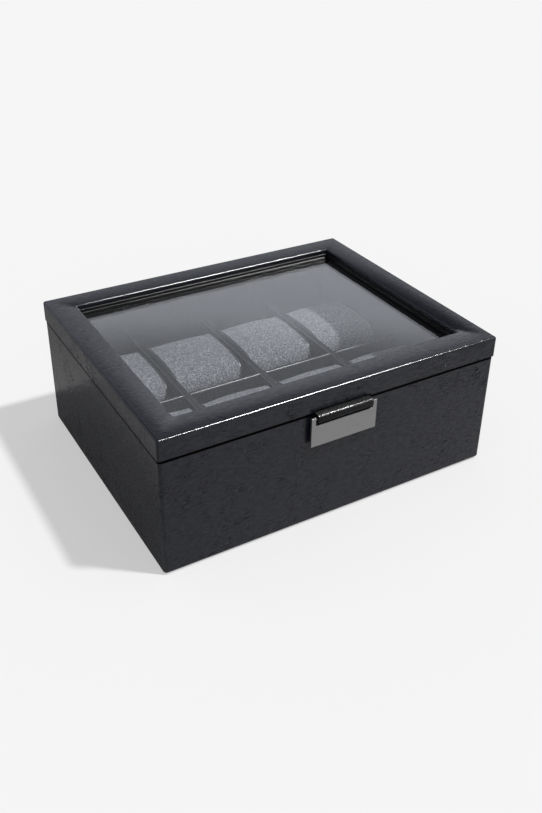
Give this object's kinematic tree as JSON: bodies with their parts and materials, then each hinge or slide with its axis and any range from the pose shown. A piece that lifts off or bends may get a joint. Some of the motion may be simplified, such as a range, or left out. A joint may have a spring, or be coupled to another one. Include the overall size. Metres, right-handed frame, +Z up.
{
  "type": "watch box",
  "caption": "Black leatherette watch box with a hinged glass-topped lid, a metal pull tab on a leather loop, and divided compartments with lift-out grey cushions.",
  "frame": {"origin": "centre of the case's underside, on the table", "axes": "+X to the right along the long side, +Y to the back where the hinges are, +Z up"},
  "size_m": [0.251, 0.2094, 0.1],
  "materials": {
    "leatherette": "black grained leatherette, low sheen",
    "board": "black-dyed fibreboard",
    "underside_felt": "black felt",
    "lining": "charcoal suede",
    "divider": "smooth charcoal wrap",
    "cushion_fabric": "heathered grey felted cloth",
    "cushion_end": "smooth charcoal wrap",
    "glass": "clear float glass",
    "bead": "black satin",
    "hinge_metal": "black nickel",
    "strap_leather": "black grained leather",
    "tab_metal": "satin gunmetal, bare"
  },
  "bodies": {
    "case": {"base_wrap": "leatherette", "front_panel": "board", "rear_panel": "board", "left_panel": "board", "right_panel": "board", "bottom_panel": "board", "base_pad": "underside_felt", "floor_lining": "lining", "front_lining": "lining", "rear_lining": "lining", "left_lining": "lining", "right_lining": "lining", "row_divider": "divider", "cross_divider_1": "divider", "cross_divider_2": "divider", "cross_divider_3": "divider", "hinge_base_leaf_left": "hinge_metal", "hinge_base_leaf_right": "hinge_metal", "hinge_pin_left": "hinge_metal", "hinge_pin_right": "hinge_metal", "hinge_base_screws": "hinge_metal"},
    "lid": {"lid_wrap": "leatherette", "lid_front_rail": "board", "lid_rear_rail": "board", "lid_left_rail": "board", "lid_right_rail": "board", "glass_pane": "glass", "glazing_beads": "bead", "retainer_strips": "board", "lid_lining": "lining", "hinge_lid_leaf_left": "hinge_metal", "hinge_lid_leaf_right": "hinge_metal", "hinge_lid_screws": "hinge_metal", "pull_strap": "strap_leather"},
    "tab": {"tab_plate": "tab_metal"},
    "cushion_front_1": {"cushion_pad_front_1": "cushion_fabric", "cushion_ends_front_1": "cushion_end"},
    "cushion_front_2": {"cushion_pad_front_2": "cushion_fabric", "cushion_ends_front_2": "cushion_end"},
    "cushion_front_3": {"cushion_pad_front_3": "cushion_fabric", "cushion_ends_front_3": "cushion_end"},
    "cushion_front_4": {"cushion_pad_front_4": "cushion_fabric", "cushion_ends_front_4": "cushion_end"},
    "cushion_rear_1": {"cushion_pad_rear_1": "cushion_fabric", "cushion_ends_rear_1": "cushion_end"},
    "cushion_rear_2": {"cushion_pad_rear_2": "cushion_fabric", "cushion_ends_rear_2": "cushion_end"},
    "cushion_rear_3": {"cushion_pad_rear_3": "cushion_fabric", "cushion_ends_rear_3": "cushion_end"},
    "cushion_rear_4": {"cushion_pad_rear_4": "cushion_fabric", "cushion_ends_rear_4": "cushion_end"}
  },
  "joints": [
    {"name": "lid_hinge", "type": "hinge", "parent": "case", "child": "lid", "pos_m": [0, 0.1018, 0.0845], "axis": [-1, 0, 0], "range_deg": [0, 100]},
    {"name": "tab_swing", "type": "hinge", "parent": "lid", "child": "tab", "pos_m": [0, -0.103, 0.0825], "axis": [-1, 0, 0], "range_deg": [-4, 170]},
    {"name": "cushion_front_1_lift", "type": "slide", "parent": "case", "child": "cushion_front_1", "axis": [0, 0, 1], "range_m": [0, 0.03]},
    {"name": "cushion_front_2_lift", "type": "slide", "parent": "case", "child": "cushion_front_2", "axis": [0, 0, 1], "range_m": [0, 0.03]},
    {"name": "cushion_front_3_lift", "type": "slide", "parent": "case", "child": "cushion_front_3", "axis": [0, 0, 1], "range_m": [0, 0.03]},
    {"name": "cushion_front_4_lift", "type": "slide", "parent": "case", "child": "cushion_front_4", "axis": [0, 0, 1], "range_m": [0, 0.03]},
    {"name": "cushion_rear_1_lift", "type": "slide", "parent": "case", "child": "cushion_rear_1", "axis": [0, 0, 1], "range_m": [0, 0.03]},
    {"name": "cushion_rear_2_lift", "type": "slide", "parent": "case", "child": "cushion_rear_2", "axis": [0, 0, 1], "range_m": [0, 0.03]},
    {"name": "cushion_rear_3_lift", "type": "slide", "parent": "case", "child": "cushion_rear_3", "axis": [0, 0, 1], "range_m": [0, 0.03]},
    {"name": "cushion_rear_4_lift", "type": "slide", "parent": "case", "child": "cushion_rear_4", "axis": [0, 0, 1], "range_m": [0, 0.03]}
  ]
}
